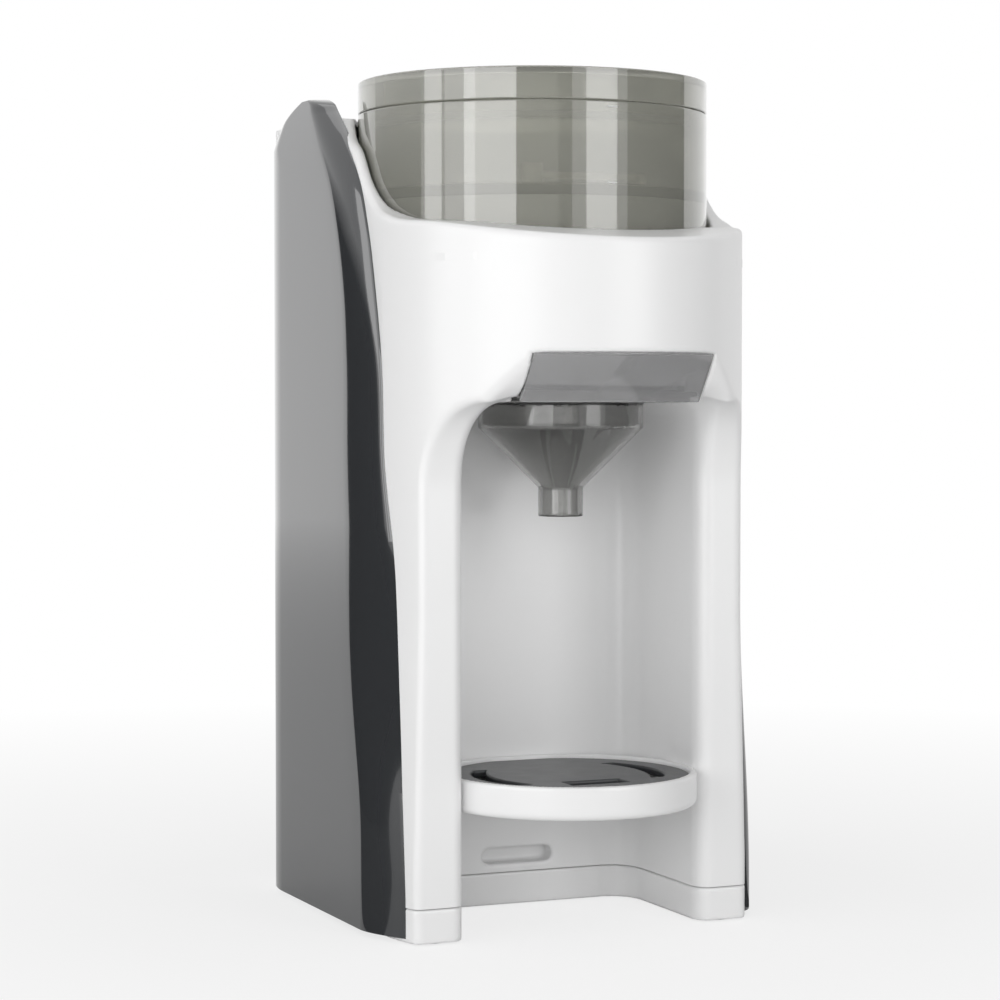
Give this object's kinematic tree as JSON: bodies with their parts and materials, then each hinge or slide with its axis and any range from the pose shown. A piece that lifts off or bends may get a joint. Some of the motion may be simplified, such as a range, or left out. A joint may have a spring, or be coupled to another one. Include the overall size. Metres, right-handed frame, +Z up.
{
  "type": "baby formula maker",
  "caption": "Counter-top machine with a smoked powder container on top, a smoked funnel over a bottle stand in an open alcove, dark side panels and a water tank behind.",
  "frame": {"origin": "on the standing surface, under the middle of the whole machine's box", "axes": "+X to the machine's right as the user faces it, +Y to its back, +Z up"},
  "size_m": [0.19, 0.248, 0.386],
  "materials": {
    "white_plastic": "satin",
    "charcoal_gloss": "high gloss",
    "smoked_plastic": "clear, smoked",
    "dark_plastic": "fine texture",
    "grey_plastic": "satin",
    "rubber": "matte",
    "silicone": "milky",
    "steel": "brushed",
    "brass": "machined",
    "nylon": "satin",
    "circuit_board": "satin"
  },
  "bodies": {
    "root": {"base_plate": "white_plastic", "foot_1": "rubber", "foot_2": "rubber", "foot_3": "rubber", "foot_4": "rubber", "base_screw_1": "steel", "base_screw_2": "steel", "base_screw_3": "steel", "base_screw_4": "steel", "front_housing": "white_plastic", "alcove_liner": "white_plastic", "seat_deck": "white_plastic", "rear_housing": "white_plastic", "left_side_panel": "charcoal_gloss", "right_side_panel": "charcoal_gloss", "mains_inlet": "dark_plastic", "control_bezel": "dark_plastic", "display_window": "smoked_plastic", "control_board": "circuit_board", "gear_motor": "steel", "motor_bracket": "steel", "shaft_bush": "brass", "funnel_rails": "dark_plastic", "funnel_switch": "dark_plastic", "powder_chute": "dark_plastic", "water_nozzle": "silicone", "tank_dock": "white_plastic", "dock_seal": "rubber", "pump_body": "dark_plastic", "pump_motor": "steel", "heater_block": "steel", "hose_tank_to_pump": "silicone", "hose_pump_to_heater": "silicone", "hose_heater_to_nozzle": "silicone", "main_board": "circuit_board"},
    "container": {"powder_container": "smoked_plastic"},
    "lid": {"container_lid": "smoked_plastic", "lid_seal": "silicone"},
    "wheel": {"dosing_wheel": "nylon", "stirrer": "nylon"},
    "drive": {"drive_gear": "nylon", "drive_shaft": "steel"},
    "pinion": {"motor_pinion": "brass"},
    "funnel": {"funnel": "smoked_plastic", "funnel_cover": "smoked_plastic"},
    "stand": {"bottle_stand": "white_plastic"},
    "grid": {"drip_grid": "dark_plastic"},
    "tank": {"water_tank": "smoked_plastic", "tank_hinge_pin": "steel"},
    "tank_lid": {"tank_lid": "dark_plastic"},
    "valve": {"tank_valve": "nylon", "valve_seal": "rubber"},
    "scoop_button": {"scoop_button": "grey_plastic"},
    "temperature_button": {"temperature_button": "grey_plastic"},
    "volume_button": {"volume_button": "grey_plastic"},
    "power_button": {"power_button": "grey_plastic"},
    "start_button": {"start_button": "grey_plastic"}
  },
  "joints": [
    {"name": "container_lift", "type": "slide", "parent": "root", "child": "container", "axis": [0, 0, 1], "range_m": [0, 0.08]},
    {"name": "lid_lift", "type": "slide", "parent": "container", "child": "lid", "axis": [0, 0, 1], "range_m": [0, 0.05]},
    {"name": "wheel_turn", "type": "hinge", "parent": "container", "child": "wheel", "pos_m": [0, -0.012, 0.3125], "axis": [0, 0, 1], "continuous": true},
    {"name": "drive_turn", "type": "hinge", "parent": "root", "child": "drive", "pos_m": [0, -0.012, 0.293], "axis": [0, 0, 1], "continuous": true},
    {"name": "pinion_turn", "type": "hinge", "parent": "root", "child": "pinion", "pos_m": [0.01838, 0.00638, 0.293], "axis": [0, 0, 1], "continuous": true},
    {"name": "funnel_slide", "type": "slide", "parent": "root", "child": "funnel", "axis": [0, -1, 0], "range_m": [0, 0.12]},
    {"name": "stand_slide", "type": "slide", "parent": "root", "child": "stand", "axis": [0, -1, 0], "range_m": [0, 0.13]},
    {"name": "grid_lift", "type": "slide", "parent": "stand", "child": "grid", "axis": [0, 0, 1], "range_m": [0, 0.03]},
    {"name": "tank_lift", "type": "slide", "parent": "root", "child": "tank", "axis": [0, 0, 1], "range_m": [0, 0.06]},
    {"name": "tank_lid_hinge", "type": "hinge", "parent": "tank", "child": "tank_lid", "pos_m": [0, 0.1195, 0.371], "axis": [-1, 0, 0], "range_deg": [0, 100]},
    {"name": "valve_push", "type": "slide", "parent": "tank", "child": "valve", "axis": [0, 0, 1], "range_m": [0, 0.003], "stiffness_N_per_m": 200, "springref_m": -0.001},
    {"name": "scoop_button_press", "type": "slide", "parent": "root", "child": "scoop_button", "axis": [-1, 0, 0], "range_m": [0, 0.0012], "stiffness_N_per_m": 400, "springref_m": -0.0005},
    {"name": "temperature_button_press", "type": "slide", "parent": "root", "child": "temperature_button", "axis": [-1, 0, 0], "range_m": [0, 0.0012], "stiffness_N_per_m": 400, "springref_m": -0.0005},
    {"name": "volume_button_press", "type": "slide", "parent": "root", "child": "volume_button", "axis": [-1, 0, 0], "range_m": [0, 0.0012], "stiffness_N_per_m": 400, "springref_m": -0.0005},
    {"name": "power_button_press", "type": "slide", "parent": "root", "child": "power_button", "axis": [-1, 0, 0], "range_m": [0, 0.0012], "stiffness_N_per_m": 400, "springref_m": -0.0005},
    {"name": "start_button_press", "type": "slide", "parent": "root", "child": "start_button", "axis": [-1, 0, 0], "range_m": [0, 0.0012], "stiffness_N_per_m": 400, "springref_m": -0.0005}
  ],
  "couplings": [
    {"joint": "drive_turn", "follows": "wheel_turn", "ratio": 1},
    {"joint": "pinion_turn", "follows": "wheel_turn", "ratio": -3.3333}
  ]
}
